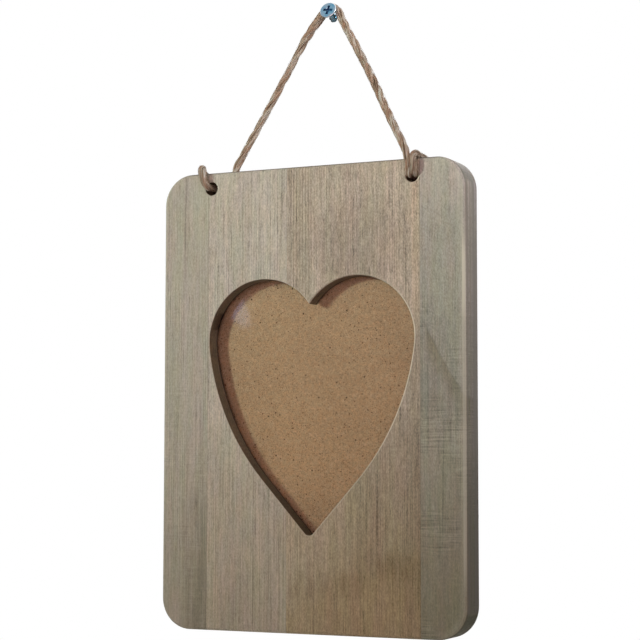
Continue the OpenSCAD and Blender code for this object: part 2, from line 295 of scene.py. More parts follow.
# The twine is natural jute, three plies twisted together, with loose fibres. Its ends go
# down through the two holes, and its middle lies over the screw behind the screw's head.
MM = 0.001
TWINE_D, TWINE_LENGTH = 0.0028, 0.341
TWINE_LAY, TWINE_STEP = 22 * MM, 0.35 * MM
twine_route = [Vector(p) * MM for p in (
    (-48.5, -7, -79), (-54.2, -7.5, -76.6), (-59.4, -9.2, -73.9), (-61.5, -12.6, -71.9),
    (-59.3, -19.5, -71.9), (-55.3, -26.9, -71.4), (-53.2, -30.3, -74.2), (-52.2, -29.9, -78.3),
    (-51.4, -28.2, -80.1), (-51.1, -25.2, -80.3), (-50.7, -16, -80.2), (-50.2, -12.7, -80.1),
    (-49.4, -10.7, -78), (-47.2, -10.4, -73), (-45.1, -10.1, -67.2), (-35, -8, -49),
    (-22.4, -5.7, -26.4), (-14.4, -4.2, -11.5), (-9.5, -3.4, -4.2), (-3.2, -3, 3.3),
    (-0.5, -3, 4.8), (2.5, -3, 4.05), (3.9, -3.4, 2), (6.1, -4.1, -2.3), (11.7, -7.3, -11),
    (24, -14.2, -30.4), (39.9, -23.9, -57.3), (46.9, -28.1, -68.6), (48.5, -29.1, -73.4),
    (49, -29.1, -77.5), (48.6, -28, -80.1), (48.55, -25.4, -80.5), (48.55, -15.5, -80.5),
    (48.6, -12.6, -80.3), (49, -10.6, -78.2), (49.7, -9.8, -75.2), (50.5, -11.1, -72.5),
    (51, -14.6, -71.9), (51.3, -21, -71.9), (51.4, -26.8, -71.6), (51.7, -30.7, -74.2),
    (52.1, -31, -77.2), (51.8, -29.4, -79.6), (51.42, -27.3, -80.3), (51.45, -24, -80.5),
    (51.45, -13.2, -80.5), (51.7, -10.2, -82.6), (52.2, -8.6, -86.5),
)]


def ways_on(points):
    """The way that a line through these points runs at each of them."""
    befores, afters = [points[0], *points[:-1]], [*points[1:], points[-1]]
    return [(after - before).normalized() for before, after in zip(befores, afters)]


def smooth_run(route, step):
    """Evenly spaced points on the smooth curve through a route."""
    ways, parts, fine = ways_on(route), 24, []
    for i in range(len(route) - 1):
        a, b = route[i], route[i + 1]
        run = (b - a).length
        for k in range(parts):
            u = k / parts
            v = 1 - u
            fine.append(
                v * v * (1 + 2 * u) * a + u * u * (3 - 2 * u) * b
                + run * u * v * (v * ways[i] - u * ways[i + 1])
            )
    fine.append(route[-1])
    lengths = [0]
    for a, b in zip(fine, fine[1:]):
        lengths.append(lengths[-1] + (b - a).length)
    count = round(lengths[-1] / step)
    run, at = [], 0
    for k in range(count + 1):
        want = lengths[-1] * k / count
        while at < len(fine) - 2 and lengths[at + 1] < want:
            at += 1
        share = (want - lengths[at]) / (lengths[at + 1] - lengths[at])
        run.append(fine[at].lerp(fine[at + 1], share))
    return run


def carried_sides(run):
    """For each point of a run, its way and a side square to it, which turns as little as it
    can from one point to the next."""
    ways, sides = ways_on(run), []
    side = ways[0].orthogonal().normalized()
    for way in ways:
        side = (side - side.dot(way) * way).normalized()
        sides.append(side)
    return ways, sides


def strand_mesh(name, lines, corners):
    """One closed tube along each line of (points, radii). Its attribute straight holds each
    point's place on the strand pulled straight: across, across, along."""
    curve = bpy.data.curves.new(name, "CURVE")
    curve.dimensions = "3D"
    curve.bevel_depth, curve.bevel_resolution = 1, corners // 2 - 2
    curve.use_fill_caps = True
    for points, radii in lines:
        spline = curve.splines.new("POLY")
        spline.points.add(len(points) - 1)
        for point, place, radius in zip(spline.points, points, radii):
            point.co, point.radius = (*place, 1), radius
    loose = bpy.data.objects.new(name, curve)
    mesh = bpy.data.meshes.new_from_object(loose)
    bpy.data.objects.remove(loose)
    bpy.data.curves.remove(curve)
    straight = mesh.attributes.new("straight", "FLOAT_VECTOR", "POINT")
    values, apart = [], 7 * MM
    for number, (points, radii) in enumerate(lines):
        along = 0
        for i, radius in enumerate(radii):
            along += (points[i] - points[i - 1]).length if i else 0
            for k in range(corners):
                turn = 2 * pi * k / corners
                values += (radius * cos(turn) + apart * number, radius * sin(turn), along)
    straight.data.foreach_set("vector", values + [0] * (3 * len(mesh.vertices) - len(values)))
    mesh.name = name
    return mesh


PLIES = 3


def plies(run, width, lay, seed):
    """The lines of the plies that a rope of this width twists together, one turn every lay."""
    ways, sides = carried_sides(run)
    draw = random.Random(seed)
    shift = [draw.uniform(0, 90) for _ in range(PLIES)]
    lines, step = [], (run[1] - run[0]).length
    for ply in range(PLIES):
        points, radii = [], []
        for i, (place, way, side) in enumerate(zip(run, ways, sides)):
            along = i * step
            wide = width(along)
            swell = noise.noise((along * 160, shift[ply], 0.5))
            slack = noise.noise((along * 90, shift[ply], 7.5))
            angle = 2 * pi * (along / lay + ply / PLIES) + 0.5 * slack
            out = cos(angle) * side + sin(angle) * way.cross(side)
            points.append(place + wide * (0.19 + 0.04 * slack) * out)
            radii.append(wide * (0.315 + 0.07 * swell))
        lines.append((points, radii))
    return lines


FIBRE_POINTS, FIBRE_R = 7, 0.045 * MM


def loose_fibres(run, width, number, seed, first=0.0, last=1.0):
    """Fine fibres that lie along a strand's surface and lift off it at their ends, between
    these shares of its run."""
    ways, sides = carried_sides(run)
    draw, lines = random.Random(seed), []
    step = (run[1] - run[0]).length
    for _ in range(number):
        start = round(draw.uniform(first, last) * (len(run) - FIBRE_POINTS))
        reach = min(len(run) - 1 - start, round(draw.uniform(3, 9) * MM / step))
        angle = draw.uniform(0, 2 * pi)
        drift, lift = draw.uniform(-90, 160), draw.uniform(0.1, 0.75) ** 2 * MM
        points, radii = [], []
        for k in range(FIBRE_POINTS):
            share = k / (FIBRE_POINTS - 1)
            at = start + round(reach * k / (FIBRE_POINTS - 1))
            turn = angle + drift * share * reach * step
            out = cos(turn) * sides[at] + sin(turn) * ways[at].cross(sides[at])
            far = 0.47 * width(at * step) + lift * (2 * share - 1) ** 2 + 0.06 * MM
            points.append(run[at] + far * out)
            radii.append(FIBRE_R * (1 - 0.75 * abs(2 * share - 1)))
        if reach > 5:
            lines.append((points, radii))
    return lines


def jute():
    """Dry jute: streaks of tan, orange brown and grey along the fibres."""
    made = bpy.data.materials.new("jute")
    paint = Paint(made)
    straight = paint.node("Attribute", {"attribute_name": "straight"}, {}, "Vector")
    fibres = paint.noise(paint.stretched(straight, 2100, 2100, 85), 1, 3, 0.6)
    strands = paint.noise(paint.stretched(straight, 950, 950, 80), 1, 2)
    patches = paint.noise(paint.stretched(straight, 420, 420, 150), 1, 2)
    colour = paint.node("ValToRGB", {"stops": [
        (0.35, (0.06, 0.035, 0.022)), (0.43, (0.20, 0.13, 0.085)), (0.49, (0.37, 0.28, 0.20)),
        (0.55, (0.51, 0.44, 0.36)), (0.63, (0.70, 0.64, 0.58)),
    ]}, {0: fibres * 0.55 + strands * 0.45})
    tinted = paint.blend(patches.between(0.46, 0.62) * 0.6, colour, (0.35, 0.20, 0.13))
    tinted = paint.blend(
        (strands - patches).between(0.06, 0.24) * 0.45, tinted, (0.46, 0.44, 0.38)
    )
    bump = paint.node("Bump", {}, {"Strength": 0.45, "Distance": 0.12 * MM, "Height": fibres})
    paint.node("OutputMaterial", {}, {0: paint.node("BsdfPrincipled", {}, {
        "Base Color": tinted, "Roughness": 0.88, "Specular IOR Level": 0.25, "Normal": bump,
    })})
    return made


def shown(name, mesh, material, body, slot, *nodes):
    """A finished piece: its mesh, its material, the body it rides on and what it stands for."""
    made = bpy.data.objects.new(name, mesh)
    bpy.context.scene.collection.objects.link(made)
    mesh.materials.clear()
    mesh.materials.append(material)
    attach(made, body)
    if nodes:
        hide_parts(*nodes)
    return made


# Where along the twine it is squeezed in a hole, where its right-hand run is looser, where its
# tighter right-hand loop begins, and where it opens up, with how far to either side.
SQUEEZED, LOOSE_RUN, RIGHT_LOOP = (0.053, 0.273, 0.326), (0.165, 0.255), 0.28
OPENED = ((0.031, 0.016), (0.148, 0.014))


def twine_width(along):
    """The twine is squeezed where it goes through a hole and swells a little between them."""
    tight = min(1, min(abs(along - place) for place in SQUEEZED) / 0.02)
    looser = 0.11 if LOOSE_RUN[0] < along < LOOSE_RUN[1] else -0.10 if along > RIGHT_LOOP else 0
    opened = max(0, *(1 - abs(along - place) / reach for place, reach in OPENED))
    swell = 0.14 * noise.noise((along * 45, 3.5, 0)) + 0.22 * min(1, 2 * opened)
    return TWINE_D * (1.05 + (0.14 + looser) * tight + swell)


jute_finish = jute()
twine_run = smooth_run(twine_route, TWINE_STEP)
twine_mesh = strand_mesh("twine", plies(twine_run, twine_width, TWINE_LAY, 4), 10)
twine_mesh.shade_smooth()
twine = shown("twine", twine_mesh, jute_finish, "frame", "jute", "hanging_twine")
fuzz_lines = loose_fibres(twine_run, twine_width, 800, 8)
BOTH_LOOPS = (0.06, 0.15), (0.78, 0.94)
for first, last in BOTH_LOOPS:
    fuzz_lines += loose_fibres(twine_run, twine_width, 260, 12, first, last)
fuzz_mesh = strand_mesh("twine_fibres", fuzz_lines, 4)
fuzz = shown("twine_fibres", fuzz_mesh, jute_finish, "frame", "jute")

# An overhand knot behind each hole keeps the twine from pulling through. It is tied in the
# same twine and pulled tight, and a short frayed tail hangs from it.
KNOT_WIDE, KNOT_LAY, KNOT_STEP, TAIL_FIBRE_R = 2.35 * MM, 12 * MM, 0.3 * MM, 0.06 * MM
knot_route = [Vector(p) * 0.87 * MM for p in (
    (-4.39, 0.02, 0), (-2.56, 0.05, -0.05), (-1.04, 0.5, -0.84), (0.11, 1.76, -1.35),
    (1.42, 2.74, -0.65), (2.57, 2.73, 0.74), (3.09, 1.71, 2.11), (2.91, 0.03, 2.74),
    (2.04, -1.49, 2.4), (0.88, -2.23, 1.23), (-0.17, -2.25, -0.25), (-1.27, -2.1, -1.69),
    (-2.39, -1.05, -2.61), (-3.05, 0.62, -2.64), (-3, 2.14, -1.7), (-2.23, 2.86, -0.24),
    (-0.98, 2.51, 0.99), (0.3, 1.3, 1.34), (1.46, 0.27, 0.47), (3.17, 0.02, 0),
    (5, 0.1, 0.1), (7.4, 0.3, 0.25),
)]


def tail_fibres(end, way, number, seed):
    """The frayed end of a strand: fibres that spread and droop."""
    draw, lines = random.Random(seed), []
    side = way.orthogonal().normalized()
    for _ in range(number):
        angle, off = draw.uniform(0, 2 * pi), draw.uniform(0, 1) ** 0.5 * 0.42 * KNOT_WIDE
        out = cos(angle) * side + sin(angle) * way.cross(side)
        long, spread = draw.uniform(3.5, 7.5) * MM, draw.uniform(0.0, 0.45)
        points, radii = [], []
        for k in range(FIBRE_POINTS):
            share = k / (FIBRE_POINTS - 1)
            points.append(
                end - 1.2 * MM * way + off * out + long * share * way
                + spread * long * share ** 1.7 * out
                + Vector((0, 0, -0.12 * long * share * share))
            )
            radii.append(TAIL_FIBRE_R * (1 - 0.7 * share))
        lines.append((points, radii))
    return lines


def knot(name, node, centre, turn, tilt, seed):
    """A knot with its centre at a point in mm, turned about the twine and tilted by these
    degrees, and its frayed tail."""
    place = (
        Matrix.Translation(Vector(centre) * MM)
        @ Matrix.Rotation(radians(tilt), 4, "Y")
        @ Matrix.Rotation(radians(90), 4, "Y")
        @ Matrix.Rotation(radians(turn), 4, "X")
    )
    run = smooth_run([place @ p for p in knot_route], KNOT_STEP)

    def wide(along):
        """The twine is thinner where it leaves its hole, in the first 3 mm."""
        return KNOT_WIDE * (1.04 - 0.25 * max(0, 1 - along / (3 * MM)))

    lines = plies(run, wide, KNOT_LAY, seed) + loose_fibres(run, wide, 70, seed + 1)
    mesh = strand_mesh(name, lines, 8)
    mesh.shade_smooth()
    made = shown(name, mesh, jute_finish, "frame", "jute", node)
    way = (run[-1] - run[-4]).normalized()
    tail = strand_mesh(name + "_tail", tail_fibres(run[-1], way, 90, seed + 2), 4)
    return made, shown(name + "_tail", tail, jute_finish, "frame", "jute")


left_knot, left_tail = knot("left_end_knot", "left_knot", (-48.5, -8.4, -79), 20, 6, 21)
right_knot, right_tail = knot("right_end_knot", "right_knot", (52.2, -8.4, -86.5), 200, -4, 31)


# The board is four upright pine staves, edge-glued, shaped and sanded as one. A thin
# driftwood-grey stain lets the grain and each stave's own tone show through.
BOARD_W, BOARD_H, CORNER_R = 0.150, 0.210, 0.014
FRONT_Y, BACK_Y = -0.0275, -0.0125
JOINTS = (-0.0515, -0.011, 0.0538)
BORDER_EASE, RIGHT_RIM_EASE, LEFT_RIM_EASE, BACK_EASE = 0.0005, 0.0008, 0.00035, 0.0003


def merged(node):
    """A copy of a CAD node's triangles as one closed shell of flat faces."""
    shell = bmesh.new()
    shell.from_mesh(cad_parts[node].data)
    bmesh.ops.remove_doubles(shell, verts=shell.verts, dist=1e-6)
    bmesh.ops.dissolve_limit(
        shell, angle_limit=radians(0.6), verts=shell.verts, edges=shell.edges
    )
    return shell


def from_border(point):
    """How far inside the board's outline a point is."""
    in_x = abs(point.x) - BOARD_W / 2 + CORNER_R
    in_z = abs(point.z - MIDDLE.z) - BOARD_H / 2 + CORNER_R
    if min(in_x, in_z) < 0:
        return CORNER_R - max(in_x, in_z)
    return CORNER_R - (in_x ** 2 + in_z ** 2) ** 0.5


def mark_cut(shell):
    """Marks the faces inside the board that a saw or a drill has left: heart, rebate, holes."""
    cut = shell.faces.layers.float.new("cut")
    for face in shell.faces:
        at = face.calc_center_median()
        inside = abs(at.x) < BOARD_W / 2 - 0.003 and abs(at.z - MIDDLE.z) < BOARD_H / 2 - 0.0025
        if abs(face.normal.y) < 0.7 and abs(at.y - (FRONT_Y + BACK_Y) / 2) < 0.007 and inside:
            on_corner = from_border(at) < 0.002
            on_glue = abs(face.normal.x) > 0.99 and min(abs(at.x - j) for j in JOINTS) < 1e-4
            face[cut] = 0 if on_corner or on_glue else 1


def eased(shell, width, segments, wanted, clamp=True):
    """Rounds the sharp edges that wanted picks, and marks the new faces, which the materials
    paint paler.
    """
    worn = shell.faces.layers.float.get("worn") or shell.faces.layers.float.new("worn")
    edges = [
        e for e in shell.edges
        if e.is_manifold and e.calc_face_angle() > radians(30) and wanted(e)
    ]
    made = bmesh.ops.bevel(
        shell, geom=edges, offset=width, segments=segments, profile=0.5, affect="EDGES",
        offset_type="OFFSET", material=-1, clamp_overlap=clamp,
    )
    cut = shell.faces.layers.float.get("cut")
    for face in made["faces"]:
        face[worn] = 1
        if cut:
            face[cut] = 0


def finished_mesh(shell, name):
    """A mesh of the shell, smooth but for its sharp edges. The shell is used up."""
    mesh = bpy.data.meshes.new(name)
    shell.to_mesh(mesh)
    shell.free()
    mesh.shade_smooth()
    mesh.set_sharp_from_angle(angle=radians(40))
    return mesh


def on_plane(edge, axis, at):
    """Whether both ends of an edge lie at this place on this axis."""
    return all(abs(v.co[axis] - at) < 1e-5 for v in edge.verts)


def on_glue_line(edge):
    """Whether an edge lies where two staves meet, and so stays sharp."""
    return any(on_plane(edge, 0, x) for x in JOINTS)


def cut_wall(paint, y, z, cut, colour):
    """The heart's cut wall is darker, partly as the sawn wood's own colour and partly as
    painted shade, and the painted shade deepens at its foot and where it meets the glass.
    """
    colour = paint.tinted(cut, colour, (0.42, 0.35, 0.275))
    # Painted shade at the wall's foot.
    colour = paint.tinted(cut * z.between(-0.192, -0.222), colour, (0.64, 0.62, 0.60))
    # Painted shade: a dark line where the wall meets the glass.
    glass_edge_shade = cut * y.between(-0.0206, -0.0199)
    return paint.blend(glass_edge_shade * 0.75, colour, (0.02, 0.015, 0.01))


def border_masks(x, y, z):
    """Three masks of the front face's border. rim is how far a point is outside the board's
    outline. line is where unstained wood shows along it, lit as a painted highlight, on the
    right as a thin line and a broad faint one, on the left as one line. The third mask is the
    painted shade on the outer edge past them on the right."""
    in_x = abs(x) - (BOARD_W / 2 - CORNER_R)
    in_z = abs(z - MIDDLE.z) - (BOARD_H / 2 - CORNER_R)
    rim = (in_x.most(0) ** 2 + in_z.most(0) ** 2) ** 0.5 + in_x.most(in_z).least(0) - CORNER_R
    front = y.between(FRONT_Y + 0.0017, FRONT_Y + 0.0009)
    right = x.between(0, 0.001)
    upper = z.between(MIDDLE.z - 0.001, MIDDLE.z)
    strip = z.between(-0.149, -0.137) * z.between(-0.104, -0.116)
    thin = rim.between(-0.0018, -0.0012) * rim.between(-0.0001, -0.0005) * (0.48 + strip * 0.4)
    thin = thin * z.between(-0.095, -0.120) * (0.4 + z.between(-0.268, -0.248))
    broad = rim.between(-0.0045, -0.0012) * rim.between(-0.0010, -0.0014)
    broad = broad * (0.16 + z.between(-0.19, -0.14) * 0.2)
    on_left = rim.between(-0.0017, -0.0009) * in_x.between(0.004, 0.013) * 0.7
    line = (thin + broad) * right + on_left * (1 - right)
    line = line * front * in_x.between(-0.004, 0.006)
    # Painted shade on the outer part of the right edge's rounding.
    edge_shade = rim.between(-0.0005, -0.0001) * right * (1 - in_z.between(0.010, 0.0135) * upper)
    return rim, line, edge_shade


def side_face(paint, y, z, side, drawn_out, deep, colour):
    """The side faces are paler, with the growth rings as upright lines, and their foot is
    darkened as painted shade."""
    latewood, ring_pitch = tuple(c * 0.45 for c in deep), 0.0039
    lined = drawn_out(300, 5, 3, 0.65).between(0.56, 0.44)
    colour = paint.blend(side * lined * 0.8, colour, latewood)
    rings = (y * (2 * pi / ring_pitch) + drawn_out(60, 9) * 8).sine() * 0.5 + 0.5
    colour = paint.blend(side * rings ** 2 * 0.75, colour, latewood)
    colour = paint.tinted(side, colour, (1.69, 1.61, 1.65))
    rear = side * y.between(FRONT_Y + 0.004, FRONT_Y + 0.013)
    colour = paint.tinted(rear, colour, (0.945, 0.975, 1.03))
    # Painted shade at the side faces' foot.
    return paint.blend(side * z.between(-0.175, -0.225) * 0.22, colour, (0, 0, 0))


def pine(name, tone, deep, seed, lines, flecks, ribs, scratches, hue, foot, mark=None):
    """Stained pine. lines, flecks, ribs and scratches are how strong its long lines, its short
    marks, the planer's fine ribs and the sander's cross scratches are. hue is how far the stain
    drifts between grey-green and pink. foot multiplies its colour at the board's foot, as
    painted light and shade that steepen the lamps' fall-off there. mark adds the marks of one
    stave."""
    made = bpy.data.materials.new(name)
    paint = Paint(made)
    place = paint.node("TexCoord", {}, {}, "Object")
    spot = paint.node("Mapping", {}, {0: place, 1: (seed * 0.31, seed * 0.17, seed * 0.53)})
    x = paint.node("SeparateXYZ", {}, {0: place}, "X")
    y, z = x.other("Y"), x.other("Z")

    def drawn_out(across, along, detail=2, roughness=0.55):
        """Noise of about so many patches a metre across the grain and along it."""
        return paint.noise(paint.stretched(spot, across, across, along), 1, detail, roughness)

    # The grain's lines, from the finest to the broad bands, and its short marks
    fine, grain = drawn_out(2500, 32), drawn_out(1150, 13, 3, 0.6)
    bands, drift = drawn_out(170, 6, 3), drawn_out(50, 17)
    fleck, grit = drawn_out(1400, 250), drawn_out(2300, 1000, 1)
    streak = drawn_out(760, 12).between(0.58, 0.70) * drawn_out(110, 18).between(0.4, 0.6)
    dash = drawn_out(1500, 95, 1).between(0.65, 0.73)

    # The planer's ribs and the sander's scratches
    rib_pitch, rib_patches = 0.00118, drawn_out(70, 22, 1).between(0.38, 0.6)
    rib = (x * (2 * pi / rib_pitch) + grain * 4).sine() * (rib_patches * (0.075 * ribs))
    scratch = drawn_out(75, 1700, 2, 0.6)
    rough = drawn_out(60, 45).between(0.42, 0.62) * z.between(-0.125, -0.155) * scratches

    # The stain, which drifts in tone and hue, and painted light and shade towards the board's
    # foot
    level = 0.5 + (bands - 0.5) * 0.88 + (drift - 0.5) * 0.9
    colour = paint.blend(level.between(-0.2, 1.2), deep, tone)
    greener, pinker, bluer = (0.96, 1.0, 0.94), (1.04, 0.985, 1.0), (0.97, 1.0, 1.07)
    pink = ((drawn_out(190, 26, 3, 0.6) - 0.5) * (4 * hue) + 0.5).between(0, 1)
    colour = paint.tinted(1, colour, paint.blend(pink, greener, pinker))
    blue = ((drawn_out(230, 70, 3, 0.6) - 0.5) * (4 * hue) + 0.5).between(0, 1)
    colour = paint.tinted(blue, colour, bluer)
    # Painted light and shade: the colour at the board's foot is multiplied by foot.
    low = z.between(-0.145, -0.275)
    colour = paint.tinted(low, colour, foot)
    if mark:
        colour = mark(paint, x, z, drawn_out, colour)
    calm = 1 - low * 0.2
    light = (fine - 0.5) * (0.55 * lines) + (grain - 0.5) * (0.5 * lines) + rib
    light = light + (scratch - 0.5) * rough
    light = light + ((fleck - 0.5) * (0.38 * flecks) + (grit - 0.5) * (0.5 * flecks)) * calm
    light = 1 + light - (streak * (0.26 * lines) + dash * (0.2 * lines)) * calm
    colour = paint.shaded(colour, light)

    cut = paint.node("Attribute", {"attribute_name": "cut"}, {}, "Fac")
    colour = cut_wall(paint, y, z, cut, colour)
    rim, line, edge_shade = border_masks(x, y, z)
    # Painted shade darkens the outer part of the right edge's rounding, like the shaded side
    # face.
    colour = paint.blend(edge_shade * 0.42, colour, (0, 0, 0))

    # Where the edges show wear, and most of all on the heart's rim, unstained wood shows; on
    # the rim faces that face the key lamp and on the border's lines it is also a painted
    # highlight
    worn = paint.node("Attribute", {"attribute_name": "worn"}, {}, "Fac")
    inner = worn * rim.between(-0.003, -0.004) * (1 - cut)
    paler_edges = inner.most(line) * (grain * 0.6 + 0.55)
    bare_and_lit = tuple((c * 1.3 + 0.05) * t for c, t in zip(tone, (0.97, 1, 0.95)))
    colour = paint.blend(paler_edges * 0.85, colour, bare_and_lit)
    # shine is a painted highlight on the rim faces that face the key lamp, stronger from the
    # middle up.
    shine = (inner - 0.25) * (0.25 + z.between(-0.215, -0.18) * 0.55)
    colour = paint.blend(shine, colour, (0.80, 0.73, 0.59))

    # The sides, the board's top edge, darkened as painted shade, and the faint lines where two
    # staves are glued
    side = abs(x).between(BOARD_W / 2 - 0.0006, BOARD_W / 2 - 0.0001)
    colour = side_face(paint, y, z, side, drawn_out, deep, colour)
    # Painted shade: a dark line along the top edge, where little light falls from above.
    top_z = MIDDLE.z + BOARD_H / 2
    colour = paint.blend(
        z.between(top_z - 0.0008, top_z - 0.0002) * 0.75, colour, (0.07, 0.06, 0.045)
    )
    glue = tuple(c * 0.5 for c in deep)
    for joint in JOINTS:
        near = abs(x - joint).between(0.0003, 0.00008)
        colour = paint.blend(near * (1 - cut) * 0.3, colour, glue)
    height = fine * 0.5 + grain * 0.5 + fleck * 0.3 - streak * 0.6 - dash * 0.5 + rib * 4
    bump = paint.node("Bump", {}, {"Strength": 0.45, "Distance": 0.1 * MM, "Height": height})
    paint.node("OutputMaterial", {}, {0: paint.node("BsdfPrincipled", {}, {
        "Base Color": colour, "Roughness": 0.66 + fine * 0.16 - paler_edges * 0.08,
        "Specular IOR Level": 0.25, "Normal": bump,
    })})
    return made


def shade_at_joint(paint, x, z, drawn_out, colour):
    """The silvered stave is darker beside its glue line, more so towards the foot."""
    near = x.between(-0.0705, -0.0545) * z.between(-0.195, -0.265)
    patchy = drawn_out(420, 20).between(0.3, 0.62)
    return paint.blend(near * (patchy * 0.4 + 0.25), colour, (0.20, 0.185, 0.125))


def brown_foot(paint, x, z, drawn_out, colour):
    """The warm stave is dusky above the heart's right lobe and beside its point, and paler at
    the top right as painted light. Its stain is thin below a slanting line, where the pine
    shows brown and has three darker smudges. A pink line runs beside one glue line, dark ones
    beside the other."""
    lobe = ((x - 0.024) / 0.027) ** 2 + ((z + 0.110) / 0.020) ** 2
    for share, factors in (
        (lobe.between(1.3, 0.2), (0.86, 0.85, 0.85)),
        (x.between(0.008, 0.030) * abs(z + 0.225).between(0.048, 0.022), (0.86, 0.86, 0.84)),
        (x.between(0.012, -0.010) * z.between(-0.21, -0.26), (1.05, 1.08, 1.08)),
        # Painted light: the paler strip at the top right.
        (x.between(0.030, 0.046) * z.between(-0.15, -0.13), (1.09, 1.08, 1.07)),
        (x.between(0.044, 0.049) * z.between(-0.13, -0.16), (0.85, 0.865, 0.86)),
        (x.between(-0.004, 0.026) * z.between(-0.19, -0.26), (0.98, 0.95, 0.90)),
    ):
        colour = paint.tinted(share, colour, factors)
    brown_z, climb = -0.2637, 0.37
    edge = x * climb + brown_z + (drawn_out(120, 60) - 0.5) * 0.02
    colour = paint.tinted((edge - z).between(-0.006, 0.009), colour, (0.95, 0.91, 0.83))
    smudge = 0
    for at_x, at_z, wide in (
        (-0.0050, -0.2624, 0.012), (0.0171, -0.2590, 0.011), (0.0405, -0.2495, 0.013),
    ):
        far = ((x - at_x) / wide) ** 2 + ((z - at_z + (edge - brown_z) * 0.2) / 0.0055) ** 2
        smudge = far.between(2.2, 0) + smudge
    streaky = drawn_out(700, 40).between(0.3, 0.65)
    colour = paint.blend(smudge * streaky * 0.29, colour, (0.15, 0.10, 0.052))
    pink = abs(x - 0.0515).between(0.0022, 0.0008) * (0.2 + z.between(-0.16, -0.13) * 0.6)
    colour = paint.blend(pink * 0.35, colour, (0.56, 0.40, 0.27))
    dark_pitch = 0.0015
    dark = (x * (2 * pi / dark_pitch) + drawn_out(500, 12) * 5).sine() * 0.5 + 0.5
    dark = dark * abs(x + 0.0045).between(0.0072, 0.0045) * z.between(-0.155, -0.115)
    return paint.blend(dark * 0.34, colour, (0.17, 0.13, 0.085))


def slant_figure(paint, x, z, drawn_out, colour):
    """A dark line slants across the grey stave, with a shade under it, and the whole stave
    has a faint slanting figure. It is duskier at its middle, and palest at the top as painted
    light."""
    below = -0.0458 - (z * 0.86 + x * 1.45 + (drawn_out(90, 90) - 0.5) * 0.006)
    line = abs(below).between(0.0011, 0.0001)
    under = below.between(0, 0.0007) * below.between(0.014, 0.0015) * x.between(0.054, 0.058)
    colour = paint.tinted(under, colour, (0.78, 0.76, 0.68))
    colour = paint.blend(line * 0.28, colour, (0.16, 0.15, 0.105))
    slanted = paint.node("CombineXYZ", {}, {0: x, 1: z * 3 + x * 2})
    wave = paint.noise(paint.stretched(slanted, 260, 420, 1), 1, 3, 0.6)
    colour = paint.blend(wave.between(0.25, 0.75) * 0.34, colour, (0.27, 0.26, 0.205))
    colour = paint.tinted(abs(z + 0.165).between(0.040, 0.012), colour, (0.84, 0.85, 0.84))
    # Painted light: the top of the stave is paler.
    return paint.tinted(z.between(-0.108, -0.083), colour, (1.19, 1.16, 1.19))


def stave(node, piece, slot, finish):
    """One stave, with every edge eased but those on its glue lines. The eased edges count as
    wear and as a painted highlight the more they face left, towards the key lamp."""
    shell = merged(node)
    mark_cut(shell)
    # The front's border is eased in one go, and then the heart's rim and the back's edges
    eased(shell, BORDER_EASE, 2, lambda e: not on_glue_line(e) and all(
        v.co.y < FRONT_Y + 0.0014 and from_border(v.co) < 0.0015 for v in e.verts
    ))
    for width, at, half in (
        (RIGHT_RIM_EASE, FRONT_Y, 1), (LEFT_RIM_EASE, FRONT_Y, -1), (BACK_EASE, BACK_Y, 0),
    ):
        eased(shell, width, 2, lambda e: not on_glue_line(e) and on_plane(e, 1, at) and (
            half * (e.verts[0].co.x + e.verts[1].co.x) >= 0
        ), clamp=False)
    # Weighted by how far each face turns left, towards the key lamp: a painted highlight.
    worn = shell.faces.layers.float["worn"]
    for face in shell.faces:
        face[worn] *= min(1, max(0.25, -face.normal.x / 0.25 - 0.6))
    made = shown(piece, finished_mesh(shell, piece), finish, "frame", slot, node)
    steady = made.modifiers.new("flat faces stay flat", "WEIGHTED_NORMAL")
    steady.keep_sharp = True


stave("stave_left", "left_stave", "silvered_pine", pine(
    "silvered_pine", (0.475, 0.43, 0.35), (0.39, 0.347, 0.273), 3, lines=1.0, flecks=1.25,
    ribs=0.7, scratches=0.45, hue=0.6, foot=(1.05, 1.07, 1.00), mark=shade_at_joint,
))
stave("stave_centre_left", "centre_left_stave", "pale_pine", pine(
    "pale_pine", (0.555, 0.495, 0.405), (0.43, 0.38, 0.305), 11, lines=1.12, flecks=1.7,
    ribs=1.0, scratches=0.12, hue=0.6, foot=(0.93, 0.92, 0.83),
))
stave("stave_centre_right", "centre_right_stave", "warm_pine", pine(
    "warm_pine", (0.505, 0.43, 0.338), (0.395, 0.327, 0.246), 23, lines=1.25, flecks=2.2,
    ribs=0.9, scratches=0.12, hue=0.5, foot=(0.96, 0.94, 0.81), mark=brown_foot,
))
stave("stave_right", "right_stave", "grey_pine", pine(
    "grey_pine", (0.47, 0.44, 0.365), (0.37, 0.345, 0.28), 37, lines=0.8, flecks=1.5,
    ribs=0.25, scratches=1.2, hue=0.8, foot=(0.635, 0.635, 0.505), mark=slant_figure,
))


# The glass is a plain clear pane of float glass, 2 mm thick, cut to a stock size. It lies
# loose in the rebate behind the heart, and the backing holds it there.
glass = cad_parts["glass_pane"]
glass_finish = bpy.data.materials.new("clear_glass")
paint = Paint(glass_finish)
shine = paint.node("Fresnel", {}, {"IOR": 1.5})
paint.node("OutputMaterial", {}, {0: paint.node("MixShader", {}, {
    0: shine,
    1: paint.node("BsdfTransparent", {}, {0: (0.965, 0.98, 0.97)}),
    2: paint.node("BsdfAnisotropic", {}, {"Color": (1, 1, 1), "Roughness": 0.02}),
})})
glass.data.materials.clear()
glass.data.materials.append(glass_finish)


